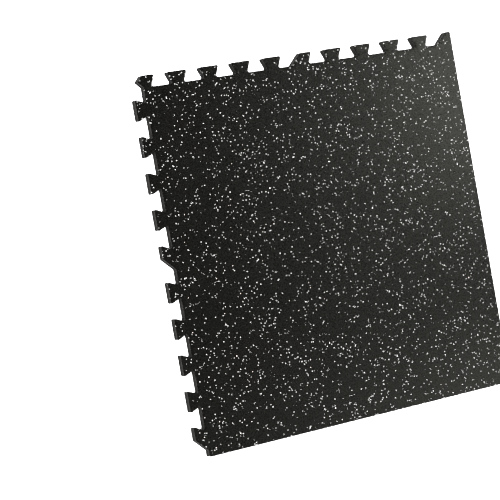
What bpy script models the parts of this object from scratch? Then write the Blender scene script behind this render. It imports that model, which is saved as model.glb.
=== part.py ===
"""Interlocking gym floor tile, corner piece: a skin of flecked rubber bonded on a foam base.

The tile lies flat, foam side down, with the underside on z = 0. Its box is centred on the
origin in X and Y. The -X and +Y edges carry the tabs, and the +X and -Y edges are cut straight.
"""

import math

import bmesh
import bpy

# Driving dimensions, in metres
TAB_PITCH = 0.06096          # a tenth of the 24 in that one tile covers
TABS_PER_GRID = 10           # pitches from one tile to the next
HALF_TAB_EVERY = 5           # each fifth tab has one slanted flank
TAB_DEPTH = 0.0201           # valley line to tab tip
TAB_TIP = 0.0388             # width of a tab at its tip
TAB_BASE = 0.0208            # width of a tab at its root
FIRST_TAB = 0.0045           # valley line of the next edge to the first tab's centre
STRAIGHT_MARGIN = 0.0115     # how far the straight edges stand past the 24 in grid
TIP_ROUND = 0.0025           # radius on the outer corners of the cut
ROOT_ROUND = 0.0026          # radius in the corners of the sockets
ARC_STEPS = 3                # segments in each rounded corner

TILE_THICKNESS = 0.0127      # half an inch
RUBBER_THICKNESS = 0.0020
BOND_GAP = 0.0003            # glue line between the rubber and the foam

# Worked out from the driving dimensions
GRID = TABS_PER_GRID * TAB_PITCH
STRAIGHT_EDGE = GRID + STRAIGHT_MARGIN      # valley line to the opposite straight edge
VALLEY_TO_VALLEY = GRID - TAB_DEPTH         # body of a tile that has tabs all round
CENTRE = (STRAIGHT_EDGE - TAB_DEPTH) / 2    # middle of the box, from a valley line

RUBBER_COLOUR = (0.030, 0.031, 0.029, 1.0)
FOAM_COLOUR = (0.085, 0.086, 0.084, 1.0)


def clear_scene():
    for obj in list(bpy.data.objects):
        bpy.data.objects.remove(obj, do_unlink=True)


def make_material(name, colour, roughness):
    material = bpy.data.materials.new(name)
    material.use_nodes = True
    shader = material.node_tree.nodes["Principled BSDF"]
    shader.inputs["Base Color"].default_value = colour
    shader.inputs["Roughness"].default_value = roughness
    shader.inputs["Metallic"].default_value = 0.0
    return material


def left_flank(tab):
    """Root and tip of the flank that comes first, as distances before the tab's centre."""
    if tab % HALF_TAB_EVERY == 0:
        return FIRST_TAB + TAB_DEPTH, FIRST_TAB     # slanted outwards at 45 degrees
    return TAB_BASE / 2, TAB_TIP / 2                # dovetail


def tab_corners(tab):
    """Corners of one tab along an edge, as (distance along, height, radius)."""
    centre = FIRST_TAB + tab * TAB_PITCH
    root, tip = left_flank(tab)
    return [
        (centre - root, 0.0, ROOT_ROUND),
        (centre - tip, TAB_DEPTH, TIP_ROUND),
        (centre + TAB_TIP / 2, TAB_DEPTH, TIP_ROUND),
        (centre + TAB_BASE / 2, 0.0, ROOT_ROUND),
    ]


def top_edge_corners():
    """The +Y edge from its first tab to the straight edge, as (u, v, radius)."""
    corners = []
    for tab in range(TABS_PER_GRID + 1):
        corners += tab_corners(tab)
    corners = corners[1:-2]     # the nose replaces the first root, the straight edge the last flank
    corners.append((STRAIGHT_EDGE, TAB_DEPTH, TIP_ROUND))
    return corners


def left_edge_corners():
    """The -X edge from its lowest tab up to the root under the corner nose, as (u, v, radius)."""
    corners = []
    for tab in range(TABS_PER_GRID):
        for along, height, radius in tab_corners(tab):
            corners.append((-height, along - VALLEY_TO_VALLEY, radius))
    corners.append((0.0, 0.0, ROOT_ROUND))
    return corners


def tile_corners():
    """Corners of the whole cut, clockwise from above.

    u runs along +X from the left valley line, v along +Y from the top valley line.
    """
    nose = (-TAB_DEPTH / 2, TAB_DEPTH / 2, TIP_ROUND)
    bottom_left = (0.0, -STRAIGHT_EDGE, TIP_ROUND)
    bottom_right = (STRAIGHT_EDGE, -STRAIGHT_EDGE, TIP_ROUND)
    return [bottom_left] + left_edge_corners() + [nose] + top_edge_corners() + [bottom_right]


def direction(start, end):
    length = math.hypot(end[0] - start[0], end[1] - start[1])
    return (end[0] - start[0]) / length, (end[1] - start[1]) / length


def rounded_corner(before, corner, after):
    """Points of the arc that rounds one corner of the outline."""
    u, v, radius = corner
    back = direction(corner, before)
    ahead = direction(corner, after)
    half_angle = math.acos(back[0] * ahead[0] + back[1] * ahead[1]) / 2
    setback = radius / math.tan(half_angle)
    middle = direction((0.0, 0.0), (back[0] + ahead[0], back[1] + ahead[1]))
    reach = radius / math.sin(half_angle)
    centre = (u + middle[0] * reach, v + middle[1] * reach)
    start = math.atan2(v + back[1] * setback - centre[1], u + back[0] * setback - centre[0])
    end = math.atan2(v + ahead[1] * setback - centre[1], u + ahead[0] * setback - centre[0])
    turn = (end - start + math.pi) % (2 * math.pi) - math.pi
    points = []
    for step in range(ARC_STEPS + 1):
        angle = start + turn * step / ARC_STEPS
        points.append((centre[0] + radius * math.cos(angle), centre[1] + radius * math.sin(angle)))
    return points


def tile_outline():
    """The cut's outline round the box's centre, with every corner rounded."""
    corners = tile_corners()
    outline = []
    for index, corner in enumerate(corners):
        after = corners[(index + 1) % len(corners)]
        for u, v in rounded_corner(corners[index - 1], corner, after):
            outline.append((u - CENTRE, v + CENTRE))
    return outline


def make_sheet(name, outline, low, high, material):
    """A flat sheet with the tile's outline between two heights."""
    sheet = bmesh.new()
    bottom = [sheet.verts.new((x, y, low)) for x, y in outline]
    top = [sheet.verts.new((x, y, high)) for x, y in outline]
    sheet.faces.new(bottom)
    sheet.faces.new(reversed(top))
    for index in range(len(outline)):
        before = index - 1
        sheet.faces.new((bottom[before], top[before], top[index], bottom[index]))
    bmesh.ops.recalc_face_normals(sheet, faces=sheet.faces[:])
    mesh = bpy.data.meshes.new(name)
    sheet.to_mesh(mesh)
    sheet.free()
    mesh.materials.append(material)
    obj = bpy.data.objects.new(name, mesh)
    bpy.context.scene.collection.objects.link(obj)
    return obj


def foam_base(outline):
    """Closed-cell foam sheet that cushions the tile."""
    top = TILE_THICKNESS - RUBBER_THICKNESS - BOND_GAP
    return make_sheet("foam_base", outline, 0.0, top, make_material("foam", FOAM_COLOUR, 0.85))


def rubber_top(outline):
    """Skin of recycled rubber granules, die-cut together with the foam."""
    low = TILE_THICKNESS - RUBBER_THICKNESS
    rubber = make_material("rubber", RUBBER_COLOUR, 0.6)
    return make_sheet("rubber_top", outline, low, TILE_THICKNESS, rubber)


clear_scene()
tile_cut = tile_outline()
foam_base(tile_cut)
rubber_top(tile_cut)
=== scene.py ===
"""Looks of an interlocking gym floor tile: flecked rubber bonded on closed-cell foam.

The tile lies flat on a pale studio floor, and the camera looks down on it from its -X side.
"""
import math

import bmesh
import bpy
import numpy as np
from mathutils import Euler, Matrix, Vector, geometry, noise


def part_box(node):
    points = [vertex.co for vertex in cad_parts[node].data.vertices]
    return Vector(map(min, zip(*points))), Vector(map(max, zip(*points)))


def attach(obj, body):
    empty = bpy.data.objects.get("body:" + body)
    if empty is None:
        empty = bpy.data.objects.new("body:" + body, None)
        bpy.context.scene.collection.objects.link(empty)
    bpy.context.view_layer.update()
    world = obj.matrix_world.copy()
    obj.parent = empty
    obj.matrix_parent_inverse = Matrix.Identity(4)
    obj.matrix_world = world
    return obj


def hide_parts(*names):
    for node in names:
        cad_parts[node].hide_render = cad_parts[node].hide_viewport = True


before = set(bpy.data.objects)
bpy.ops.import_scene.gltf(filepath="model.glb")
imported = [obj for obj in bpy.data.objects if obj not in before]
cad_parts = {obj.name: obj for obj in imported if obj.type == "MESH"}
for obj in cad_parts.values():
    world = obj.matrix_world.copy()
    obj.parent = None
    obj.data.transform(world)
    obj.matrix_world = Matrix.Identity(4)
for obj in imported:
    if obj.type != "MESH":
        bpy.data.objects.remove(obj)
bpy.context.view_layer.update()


# ---------------------------------------------------------------------------------------------
# Foam base
# A sheet of closed-cell foam, split from a block and die-cut to the interlocking outline
# together with the rubber bonded on it. The cut side shows the opened cells.
# ---------------------------------------------------------------------------------------------
SAME_PLACE = 1e-6            # points that lie closer than this are one point
FACING_DOWN = -0.9           # a face of the underside has a normal that falls at least this far
CUT_STEP = 0.0008            # spacing of the points that follow the cut
CORNER_EASE = 0.0004         # how far the knife rounds what the drawing has as facets
RIPPLE_GAIN = 0.7            # spreads the noise of the cut side over 0..1
SHARP_BEND = math.radians(35)    # a bend above this shows as an edge
BOND_HALF = 0.00015          # the foam and the rubber each reach halfway into the glue line
FOAM_LIP = 0.0004            # rounding where the underside meets the cut side
FOAM_WAIST = 0.00022         # the foam springs back below the rubber after the cut
FOAM_WANDER = 0.00010        # unevenness of the cut foam
FOAM_WANDER_SIZE = 0.0045
FOAM_WANDER_SEED = 3.1
FOAM_GREY = (0.0037, 0.0037, 0.0035, 1.0)
FOAM_PALE = (0.0071, 0.0071, 0.0066, 1.0)
FOAM_CLOUD = 0.035           # size of the paler and darker clouds
FOAM_CLOUD_TONE = 0.9        # how far the tone follows them
FOAM_TONE_DROP = 0.15        # shifts the tone towards the darker grey
FOAM_CELL = 0.00042          # size of the cells
CELL_TONE = 0.35             # how far the tone follows them
CELL_OPEN = (0.02, 0.22)     # where a cell's wall ends and its middle begins, in cell sizes
CELL_DEPTH = 0.00006         # of the opened middle
PORE = 0.0016                # coarser pits
PORE_DEPTH = 0.00012
FOAM_BUMP = 0.8
FOAM_ROUGHNESS = 0.80
CELL_ROUGHNESS = 0.12        # added by the cells, at most
FOAM_SPECULAR = 0.03


def cut_line(node):
    """Corners of the die cut, in order round the tile, read from the underside of a solid."""
    solid = bmesh.new()
    solid.from_mesh(node.data)
    bmesh.ops.remove_doubles(solid, verts=solid.verts[:], dist=SAME_PLACE)
    underside = {face for face in solid.faces if face.normal.z < FACING_DOWN}
    rim = [edge for edge in solid.edges if len(underside & set(edge.link_faces)) == 1]
    ahead = {}
    for edge in rim:
        face = next(face for face in edge.link_faces if face in underside)
        for loop in face.loops:
            if loop.edge == edge:
                ahead[loop.link_loop_next.vert] = loop.vert
    # The line starts at the corner of the two straight edges, whatever the solid's own order
    start = max(ahead, key=lambda vert: (round(vert.co.x - vert.co.y, 5), vert.co.x))
    line = [start]
    while ahead[line[-1]] != start:
        line.append(ahead[line[-1]])
    corners = np.array([vert.co.xy for vert in line])
    solid.free()
    return corners


def spaced(corners, step):
    """Points at an even spacing along a closed line."""
    closed = np.vstack([corners, corners[:1]])
    along = np.concatenate([[0.0], np.cumsum(np.linalg.norm(np.diff(closed, axis=0), axis=1))])
    count = int(round(along[-1] / step))
    at = np.linspace(0.0, along[-1], count, endpoint=False)
    return np.column_stack([np.interp(at, along, closed[:, axis]) for axis in (0, 1)])


def eased(points, step, width):
    """The closed line with its corners softened over a width, by a bell-shaped average."""
    reach = int(math.ceil(3 * width / step))
    weights = np.exp(-0.5 * (np.arange(-reach, reach + 1) * step / width) ** 2)
    weights /= weights.sum()
    soft = np.zeros_like(points)
    for offset, weight in zip(range(-reach, reach + 1), weights):
        soft += weight * np.roll(points, offset, axis=0)
    return soft


def inward(points):
    """Unit vectors that point into the tile from each point of a line that runs round it."""
    tangent = np.roll(points, -1, axis=0) - np.roll(points, 1, axis=0)
    normal = np.column_stack([-tangent[:, 1], tangent[:, 0]])
    x, y = points[:, 0], points[:, 1]
    normal *= np.sign(np.sum(x * np.roll(y, -1) - y * np.roll(x, -1)))
    return normal / np.linalg.norm(normal, axis=1)[:, None]


def ripple(points, height, size, seed):
    """Smooth noise in 0..1 at each point of one row of the cut side."""
    values = [noise.noise(Vector((x / size, y / size, height / size + seed))) for x, y in points]
    return np.clip(0.5 + RIPPLE_GAIN * np.array(values), 0.0, 1.0)


def stack_rows(mesh, rows):
    """Joins closed rows of points, lowest first, into a wall. Returns the rows of vertices."""
    made = [[mesh.verts.new(point) for point in row] for row in rows]
    for low, high in zip(made, made[1:]):
        for index in range(len(low)):
            mesh.faces.new((low[index - 1], low[index], high[index], high[index - 1]))
    return made


def finished(mesh, name, material):
    """The piece's object, with its normals turned outwards and smooth shading between edges."""
    bmesh.ops.recalc_face_normals(mesh, faces=mesh.faces[:])
    for face in mesh.faces:
        face.smooth = True
    for edge in mesh.edges:
        edge.smooth = len(edge.link_faces) == 2 and edge.calc_face_angle() < SHARP_BEND
    data = bpy.data.meshes.new(name)
    mesh.to_mesh(data)
    mesh.free()
    data.materials.append(material)
    piece = bpy.data.objects.new(name, data)
    bpy.context.scene.collection.objects.link(piece)
    return piece


class Wire:
    """The output of a node in a material, so that a pattern can be written as arithmetic."""

    def __init__(self, socket):
        self.socket = socket

    def node(self, kind, settings, values, output=0):
        """Adds a node: first its settings, then the value or the wire of each named socket."""
        tree = self.socket.id_data
        made = tree.nodes.new(kind)
        for setting, value in settings.items():
            if setting == "stops":
                stops = made.color_ramp.elements
                for index, (place, colour) in enumerate(value):
                    stop = stops[index] if index < len(stops) else stops.new(place)
                    stop.position = place
                    stop.color = colour
            else:
                setattr(made, setting, value)
        for name, value in values.items():
            if isinstance(value, Wire):
                tree.links.new(value.socket, made.inputs[name])
            else:
                made.inputs[name].default_value = value
        return Wire(made.outputs[output])

    def maths(self, operation, first, second):
        return self.node("ShaderNodeMath", {"operation": operation}, {0: first, 1: second})

    def __add__(self, other):
        return self.maths("ADD", self, other)

    def __sub__(self, other):
        return self.maths("SUBTRACT", self, other)

    def __rsub__(self, other):
        return self.maths("SUBTRACT", other, self)

    def __mul__(self, other):
        return self.maths("MULTIPLY", self, other)

    def __lt__(self, other):
        return self.maths("LESS_THAN", self, other)

    def __gt__(self, other):
        return self.maths("GREATER_THAN", self, other)

    __radd__ = __add__
    __rmul__ = __mul__

    def between(self, low, high):
        """0 below low, 1 above high and a smooth rise between them."""
        values = {"Value": self, "From Min": low, "From Max": high}
        return self.node("ShaderNodeMapRange", {"interpolation_type": "SMOOTHSTEP"}, values)

    def blend(self, one, other):
        """The colour one where this is 0, and the other where it is 1."""
        values = {0: self, 6: one, 7: other}
        return self.node("ShaderNodeMix", {"data_type": "RGBA"}, values, 2)

    def ramp(self, stops):
        """The colour that a ramp of stops has at this value."""
        return self.node("ShaderNodeValToRGB", {"stops": stops}, {"Fac": self})

    def bump(self, strength):
        """The normal of a surface that rises by this many metres."""
        values = {"Strength": strength, "Distance": 1.0, "Height": self}
        return self.node("ShaderNodeBump", {}, values)

    def vector(self, operation, values):
        return self.node("ShaderNodeVectorMath", {"operation": operation}, values)

    def noise(self, size, detail=2.0, roughness=0.5, output=0):
        values = {"Vector": self, "Scale": 1 / size, "Detail": detail, "Roughness": roughness}
        return self.node("ShaderNodeTexNoise", {}, values, output)

    def cells(self, size, feature="F1", output="Distance"):
        values = {"Vector": self, "Scale": 1 / size, "Randomness": 1.0}
        return self.node("ShaderNodeTexVoronoi", {"feature": feature}, values, output)

    def part(self, axis):
        """One component of a vector or of a colour's red, green and blue."""
        return self.node("ShaderNodeSeparateXYZ", {}, {"Vector": self}, axis)

    def warped(self, size, reach):
        """The position moved about by up to reach each way, over distances of about size."""
        push = self.noise(size, output="Color")
        centred = self.vector("SUBTRACT", {0: push, 1: (0.5, 0.5, 0.5)})
        scaled = self.vector("SCALE", {0: centred, "Scale": 2 * reach})
        return self.vector("ADD", {0: self, 1: scaled})


def new_finish(name):
    """A material, its shader node and the position in the object."""
    material = bpy.data.materials.new(name)
    material.use_nodes = True
    tree = material.node_tree
    place = Wire(tree.nodes.new("ShaderNodeTexCoord").outputs["Object"])
    return material, tree.nodes["Principled BSDF"], place


def feed(shader, name, wire):
    """Links a pattern to one socket of the shader."""
    shader.id_data.links.new(wire.socket, shader.inputs[name])


def foam_finish():
    """Dark grey foam with fine opened cells and coarser pits."""
    material, shader, place = new_finish("cut_foam")
    open_cell = place.cells(FOAM_CELL, "DISTANCE_TO_EDGE").between(*CELL_OPEN)
    cell_chance = place.cells(FOAM_CELL, output="Color").part(0)
    cloud = place.noise(FOAM_CLOUD, detail=3.0)
    tone = cell_chance * CELL_TONE + cloud * FOAM_CLOUD_TONE - FOAM_TONE_DROP
    feed(shader, "Base Color", tone.between(0.0, 1.0).blend(FOAM_GREY, FOAM_PALE))
    feed(shader, "Roughness", FOAM_ROUGHNESS + cell_chance * CELL_ROUGHNESS)
    height = open_cell * -CELL_DEPTH + place.noise(PORE, detail=3.0) * PORE_DEPTH
    feed(shader, "Normal", height.bump(FOAM_BUMP))
    shader.inputs["Specular IOR Level"].default_value = FOAM_SPECULAR
    return material


cut = eased(spaced(cut_line(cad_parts["foam_base"]), CUT_STEP), CUT_STEP, CORNER_EASE)
inside = inward(cut)
foam_low, foam_high = (corner.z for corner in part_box("foam_base"))
foam_high += BOND_HALF

# How far each row of the cut side's points lies inside the cut and above the underside
foam_profile = [
    (FOAM_LIP, 0.0),
    (0.45 * FOAM_LIP, 0.18 * FOAM_LIP),
    (0.10 * FOAM_LIP, 0.6 * FOAM_LIP),
    (0.0, 0.0012),
    (0.45 * FOAM_WAIST, 0.0032),
    (FOAM_WAIST, 0.0056),
    (0.9 * FOAM_WAIST, 0.0078),
    (0.5 * FOAM_WAIST, 0.0094),
    (0.3 * FOAM_WAIST, foam_high - foam_low),
]
foam_rows = []
for inset, rise in foam_profile:
    height = foam_low + rise
    wander = FOAM_WANDER * ripple(cut, height, FOAM_WANDER_SIZE, FOAM_WANDER_SEED)
    row = cut + inside * (inset + wander)[:, None]
    foam_rows.append([(x, y, height) for x, y in row])
foam_mesh = bmesh.new()
foam_walls = stack_rows(foam_mesh, foam_rows)
foam_mesh.faces.new(foam_walls[0])
foam_mesh.faces.new(foam_walls[-1])
foam_piece = finished(foam_mesh, "foam_base_cut", foam_finish())
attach(foam_piece, "root")
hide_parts("foam_base")


# ---------------------------------------------------------------------------------------------
# Rubber skin
# Granules of recycled black rubber, with a few per cent of pale ones, bound and pressed into a
# 2 mm sheet. It is glued on the foam, and its cut side shows the same granules as its face.
# ---------------------------------------------------------------------------------------------
SKIN_ROUND = 0.00035         # the knife draws the top edge of the rubber down
SKIN_ROUND_STEPS = (0, 30, 60, 90)    # degrees of that round, one row of points at each
SKIN_TUCK = 0.00008          # the glue holds the lowest edge back, up to the first height here
SKIN_HEIGHTS = (0.0004, 0.0010)
SKIN_WANDER = 0.00016        # unevenness of the cut rubber
SKIN_WANDER_SIZE = 0.0018
SKIN_WANDER_SEED = 5.3
NICK_DEPTH = 0.00045         # where a granule has left the edge
NICK_SIZE = 0.0030
NICK_SEED = 8.7
NICK_ABOVE = 0.72            # the noise nicks the edge above this
FACE_REACH = 0.33            # half of a square that is wider than the tile
FACE_SPACING = 0.0060        # of the points inside the face
FACE_DIP = 0.00008           # how far the face is from flat
FACE_DIP_SIZE = 0.05
ONLY_INSIDE = 1              # triangles inside the border and none outside
RUBBER_BLACK = (0.0006, 0.0006, 0.0005, 1.0)
RUBBER_GREY = (0.0014, 0.0014, 0.0012, 1.0)
RUBBER_CLOUD = 0.030         # size of the paler and darker clouds
RUBBER_CLOUD_TONE = 0.9      # how far the tone follows them
RUBBER_TONE_DROP = 0.2       # shifts the tone towards the black
GRANULE = 0.0015             # size of the black granules
GRANULE_TONE = 0.5           # how far the tone follows them
GRANULE_JOINT = 0.10         # width of the joint round each, in granule sizes
GRANULE_HEIGHT = 0.00004     # how far each stands above it
GRIT = 0.0006                # finer roughness of the pressed face
GRIT_HEIGHT = 0.00003
RUBBER_BUMP = 0.7
BATCH_PLACE = (0.93, 0.41, 0.1213)    # which part of the mixed granules this sheet is
PALE_ROOM = 0.0018           # one granule in each such space may be a pale one
PALE_SHARE = 0.056           # so many of the spaces hold one
PALE_SMALLEST = 0.14         # radius of the pale granules, as a share of their room
PALE_SPREAD = 0.22           # the largest have this much more
PALE_WARP = (0.0010, 0.00018)    # how far they are from round
PALE_TONES = [
    (0.0, (0.95, 0.95, 0.93, 1.0)), (0.7, (0.92, 0.92, 0.90, 1.0)),
    (0.90, (0.70, 0.70, 0.68, 1.0)), (1.0, (0.55, 0.55, 0.54, 1.0)),
]
CRUMB = 0.0010               # dust and crumbs of the pale granules
CRUMB_SHARE = 0.002          # so many of the spaces hold one
CRUMB_WARP = (0.0008, 0.0005)
CRUMB_TONES = [
    (0.0, (0.16, 0.16, 0.152, 1.0)), (0.5, (0.50, 0.50, 0.485, 1.0)),
    (1.0, (0.90, 0.90, 0.88, 1.0)),
]
RUBBER_ROUGHNESS = 0.22
PATCH = 0.004                # size of duller patches, and how much duller they are
PATCH_ROUGHNESS = 0.12
BINDER_RING = 0.34           # binder round each pale granule, as a share of its room
BINDER_ROUGHNESS = 0.5       # how much duller it is
CUT_ROUGHNESS = 0.55         # how much duller the cut side is than the pressed face
RUBBER_SPECULAR = 0.3
RUBBER_SPECULAR_TINT = (1.0, 1.0, 0.90, 1.0)

skin_low, skin_high = (corner.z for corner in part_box("rubber_top"))
skin_low -= BOND_HALF


def rubber_finish():
    """Black granules with pale ones and crumbs among them, shiny on the pressed face only."""
    material, shader, place = new_finish("flecked_rubber")
    batch = place.vector("ADD", {0: place, 1: BATCH_PLACE}).warped(*PALE_WARP)
    away = batch.cells(PALE_ROOM)
    chance = batch.cells(PALE_ROOM, output="Color")
    size_chance = chance.part(1)
    radius = PALE_SMALLEST + size_chance * PALE_SPREAD
    is_pale = chance.part(0) < PALE_SHARE
    fleck = is_pale * (away < radius)
    binder = is_pale * (away < radius + BINDER_RING)
    crumb_chance = place.warped(*CRUMB_WARP).cells(CRUMB, output="Color")
    crumb = crumb_chance.part(0) < CRUMB_SHARE

    cloud = place.noise(RUBBER_CLOUD, detail=3.0)
    granule_chance = place.cells(GRANULE, output="Color").part(2)
    tone = granule_chance * GRANULE_TONE + cloud * RUBBER_CLOUD_TONE - RUBBER_TONE_DROP
    black = (tone.between(0.0, 1.0) * (1 - binder)).blend(RUBBER_BLACK, RUBBER_GREY)
    crumbed = crumb.blend(black, crumb_chance.part(1).ramp(CRUMB_TONES))
    feed(shader, "Base Color", fleck.blend(crumbed, size_chance.ramp(PALE_TONES)))

    cut_side = place.part(2) < skin_high - SKIN_ROUND
    dull = binder * BINDER_ROUGHNESS + cut_side * CUT_ROUGHNESS
    feed(shader, "Roughness", RUBBER_ROUGHNESS + place.noise(PATCH) * PATCH_ROUGHNESS + dull)

    granule = place.cells(GRANULE, "DISTANCE_TO_EDGE").between(0.0, GRANULE_JOINT)
    grit = place.noise(GRIT, detail=3.0, roughness=0.6)
    feed(shader, "Normal", (granule * GRANULE_HEIGHT + grit * GRIT_HEIGHT).bump(RUBBER_BUMP))
    shader.inputs["Specular IOR Level"].default_value = RUBBER_SPECULAR
    shader.inputs["Specular Tint"].default_value = RUBBER_SPECULAR_TINT
    return material


def fill_face(mesh, rim):
    """Triangles over the face inside its rim, with points of their own that dip a little."""
    border = [vert.co.xy for vert in rim]
    span = np.arange(-FACE_REACH, FACE_REACH, FACE_SPACING)
    inner = [Vector((x, y)) for x in span for y in span]
    loop = list(range(len(border)))
    done = geometry.delaunay_2d_cdt(border + inner, [], [loop], ONLY_INSIDE, SAME_PLACE)
    points, _, triangles, origin = done[:4]
    verts = []
    for point, came_from in zip(points, origin):
        if came_from and came_from[0] < len(border):
            verts.append(rim[came_from[0]])
        else:
            wave = noise.noise(Vector((point.x, point.y, 0.0)) / FACE_DIP_SIZE)
            dip = FACE_DIP * (0.5 + 0.5 * wave)
            verts.append(mesh.verts.new((point.x, point.y, rim[0].co.z - dip)))
    for triangle in triangles:
        mesh.faces.new([verts[index] for index in triangle])
    for vert in [vert for vert in verts if not vert.link_faces]:
        mesh.verts.remove(vert)


# How far each row of the cut side's points lies inside the cut, and its height
skin_profile = [(SKIN_TUCK, skin_low)]
skin_profile += [(0.0, skin_low + rise) for rise in SKIN_HEIGHTS]
for angle in map(math.radians, SKIN_ROUND_STEPS):
    inset = SKIN_ROUND * (1 - math.cos(angle))
    skin_profile.append((inset, skin_high - SKIN_ROUND * (1 - math.sin(angle))))

nick = np.clip(ripple(cut, 0.0, NICK_SIZE, NICK_SEED) - NICK_ABOVE, 0.0, None) / (1 - NICK_ABOVE)
skin_rows = []
for inset, height in skin_profile:
    wander = SKIN_WANDER * ripple(cut, height, SKIN_WANDER_SIZE, SKIN_WANDER_SEED)
    bite = NICK_DEPTH * nick * (height - skin_low) / (skin_high - skin_low)
    row = cut + inside * (inset + wander + bite)[:, None]
    skin_rows.append([(x, y, height) for x, y in row])
skin_mesh = bmesh.new()
skin_walls = stack_rows(skin_mesh, skin_rows)
skin_mesh.faces.new(skin_walls[0])
fill_face(skin_mesh, skin_walls[-1])
skin_piece = finished(skin_mesh, "rubber_skin", rubber_finish())
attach(skin_piece, "root")
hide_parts("rubber_top")


# ---------------------------------------------------------------------------------------------
# Studio
# A pale matt floor under a broad key light from the tabbed left edge, which is kept out of the
# reflections. Two soft panels give the rubber its sheen: one past the right edge, one in front.
# ---------------------------------------------------------------------------------------------
FLOOR_REACH = 20.0           # half of the floor's side
FLOOR_PALE = (0.90, 0.90, 0.90, 1.0)
KEY_FROM = (-0.48, 0.08, 0.87)
KEY_STRENGTH = 19.0
KEY_ANGLE = math.radians(30)    # wide, so that its shadows are soft
SKY_WHITE = (1.0, 1.0, 1.0, 1.0)
SKY_STRENGTH = 0.08
CAMERA_PLACE = (-1.6992, 0.1086, 2.9091)
CAMERA_TURN = (3.5521, -27.8659, -11.4497)    # degrees
CAMERA_LENS = 140.202        # millimetres, as is the sensor's width
SENSOR_WIDTH = 36.0

floor_mesh = bpy.data.meshes.new("floor")
floor_corners = [(-1, -1), (1, -1), (1, 1), (-1, 1)]
floor_mesh.from_pydata(
    [(x * FLOOR_REACH, y * FLOOR_REACH, 0.0) for x, y in floor_corners], [], [(0, 1, 2, 3)])
floor = bpy.data.objects.new("floor", floor_mesh)
bpy.context.scene.collection.objects.link(floor)
floor_material, floor_shader, _ = new_finish("pale_floor")
floor_shader.inputs["Base Color"].default_value = FLOOR_PALE
floor_shader.inputs["Roughness"].default_value = 1.0
floor_shader.inputs["Specular IOR Level"].default_value = 0.0
floor_mesh.materials.append(floor_material)


def soft_panel(name, place, aim, width, height, power):
    """A rectangular light that faces a point and that the camera doesn't see."""
    light = bpy.data.lights.new(name, "AREA")
    light.shape = "RECTANGLE"
    light.size = width
    light.size_y = height
    light.energy = power
    lamp = bpy.data.objects.new(name, light)
    lamp.location = place
    lamp.rotation_euler = (Vector(aim) - Vector(place)).to_track_quat("-Z", "Y").to_euler()
    lamp.visible_camera = False
    bpy.context.scene.collection.objects.link(lamp)


soft_panel("sheen", place=(1.6, 0.3, 1.3), aim=(0.3, 0.05, 0.0),
           width=0.6, height=0.8, power=8.8)
soft_panel("front", place=(0.8, -1.0, 1.2), aim=(0.0, -0.2, 0.0),
           width=1.6, height=0.5, power=7.6)
key_light = bpy.data.lights.new("key", "SUN")
key_light.energy = KEY_STRENGTH
key_light.angle = KEY_ANGLE
key = bpy.data.objects.new("key", key_light)
key.rotation_euler = Vector(KEY_FROM).to_track_quat("Z", "Y").to_euler()
key.visible_glossy = False
bpy.context.scene.collection.objects.link(key)

world = bpy.data.worlds.new("studio")
bpy.context.scene.world = world
world.use_nodes = True
sky = world.node_tree.nodes["Background"]
sky.inputs["Color"].default_value = SKY_WHITE
sky.inputs["Strength"].default_value = SKY_STRENGTH

camera_data = bpy.data.cameras.new("camera")
camera_data.lens = CAMERA_LENS
camera_data.sensor_width = SENSOR_WIDTH
camera = bpy.data.objects.new("camera", camera_data)
camera.location = CAMERA_PLACE
camera.rotation_euler = Euler([math.radians(angle) for angle in CAMERA_TURN], "XYZ")
bpy.context.scene.collection.objects.link(camera)
bpy.context.scene.camera = camera
bpy.context.scene.view_settings.view_transform = "Standard"
